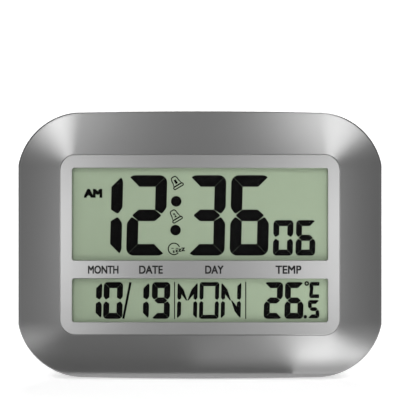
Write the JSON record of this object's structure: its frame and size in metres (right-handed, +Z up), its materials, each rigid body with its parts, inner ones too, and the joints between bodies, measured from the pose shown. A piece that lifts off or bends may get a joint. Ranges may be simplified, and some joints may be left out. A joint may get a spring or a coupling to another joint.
{
  "type": "digital wall clock",
  "caption": "Digital clock with a large LCD in a wide rounded metallic border, dark rear shell, folding U stand, wall keyholes and battery door.",
  "frame": {"origin": "the middle of the bounding box on the surface that the clock stands on, with its stand open at its stop", "axes": "+Z up, the clock faces -Y and leans back by 17.6 degrees, +X to the right as seen from the front"},
  "size_m": [0.262, 0.0814, 0.1852],
  "materials": {
    "satin_silver": "satin silver, fine grain",
    "bright_silver": "brushed satin silver",
    "clear_window": "clear",
    "polariser_film": "thin film",
    "display_glass": "clear",
    "display_green": "grey-green display with black segments",
    "reflector_foil": "diffuse foil",
    "inner_plastic": "moulded, white",
    "grey_rubber": "matt",
    "board_green": "circuit board",
    "chip_black": "black resin",
    "dark_plastic": "fine moulded grain, dark grey",
    "stand_plastic": "fine moulded grain, dark blue-grey",
    "key_rubber": "matt",
    "battery_jacket": "printed sleeve, plain",
    "steel": "plated",
    "screw_steel": "zinc plated",
    "brass": "plain"
  },
  "bodies": {
    "case": {"front_bezel": "satin_silver", "display_frame": "bright_silver", "display_lens": "clear_window", "lcd_polariser": "polariser_film", "lcd_glass": "display_glass", "lcd_segments": "display_green", "lcd_reflector": "reflector_foil", "lcd_holder": "inner_plastic", "zebra_strip": "grey_rubber", "circuit_board": "board_green", "controller_chip": "chip_black", "quartz_crystal": "steel", "key_board": "board_green", "rear_cover": "dark_plastic", "battery_1": "battery_jacket", "battery_2": "battery_jacket", "battery_spring_1": "steel", "battery_spring_2": "steel", "battery_link": "steel", "contact_positive": "steel", "contact_negative": "steel", "buzzer": "brass", "temperature_sensor": "brass", "board_screw_1": "steel", "board_screw_2": "steel", "key_board_screw_1": "steel", "key_board_screw_2": "steel", "case_screw_1": "screw_steel", "case_screw_2": "screw_steel", "case_screw_3": "screw_steel", "case_screw_4": "screw_steel", "case_screw_5": "screw_steel", "case_screw_6": "screw_steel", "case_screw_7": "screw_steel", "case_screw_8": "screw_steel"},
    "stand": {"stand": "stand_plastic"},
    "battery_door": {"battery_door": "dark_plastic"},
    "key_mode": {"key_mode": "key_rubber"},
    "key_set": {"key_set": "key_rubber"},
    "key_up": {"key_up": "key_rubber"},
    "key_down": {"key_down": "key_rubber"},
    "key_alarm": {"key_alarm": "key_rubber"},
    "key_unit": {"key_unit": "key_rubber"},
    "key_snooze": {"key_snooze": "key_rubber"}
  },
  "joints": [
    {"name": "stand_hinge", "type": "hinge", "parent": "case", "child": "stand", "pos_m": [0, 0.01678, 0.11802], "axis": [1, 0, 0], "range_deg": [-28, 0]},
    {"name": "battery_door_hinge", "type": "hinge", "parent": "case", "child": "battery_door", "pos_m": [0, 0.01012, 0.0917], "axis": [-1, 0, 0], "range_deg": [0, 75]},
    {"name": "key_mode_press", "type": "slide", "parent": "case", "child": "key_mode", "axis": [0, -0.9533, 0.302], "range_m": [0, 0.0006], "stiffness_N_per_m": 800},
    {"name": "key_set_press", "type": "slide", "parent": "case", "child": "key_set", "axis": [0, -0.9533, 0.302], "range_m": [0, 0.0006], "stiffness_N_per_m": 800},
    {"name": "key_up_press", "type": "slide", "parent": "case", "child": "key_up", "axis": [0, -0.9533, 0.302], "range_m": [0, 0.0006], "stiffness_N_per_m": 800},
    {"name": "key_down_press", "type": "slide", "parent": "case", "child": "key_down", "axis": [0, -0.9533, 0.302], "range_m": [0, 0.0006], "stiffness_N_per_m": 800},
    {"name": "key_alarm_press", "type": "slide", "parent": "case", "child": "key_alarm", "axis": [0, -0.9533, 0.302], "range_m": [0, 0.0006], "stiffness_N_per_m": 800},
    {"name": "key_unit_press", "type": "slide", "parent": "case", "child": "key_unit", "axis": [0, -0.9533, 0.302], "range_m": [0, 0.0006], "stiffness_N_per_m": 800},
    {"name": "key_snooze_press", "type": "slide", "parent": "case", "child": "key_snooze", "axis": [0, -0.9533, 0.302], "range_m": [0, 0.0006], "stiffness_N_per_m": 800}
  ]
}
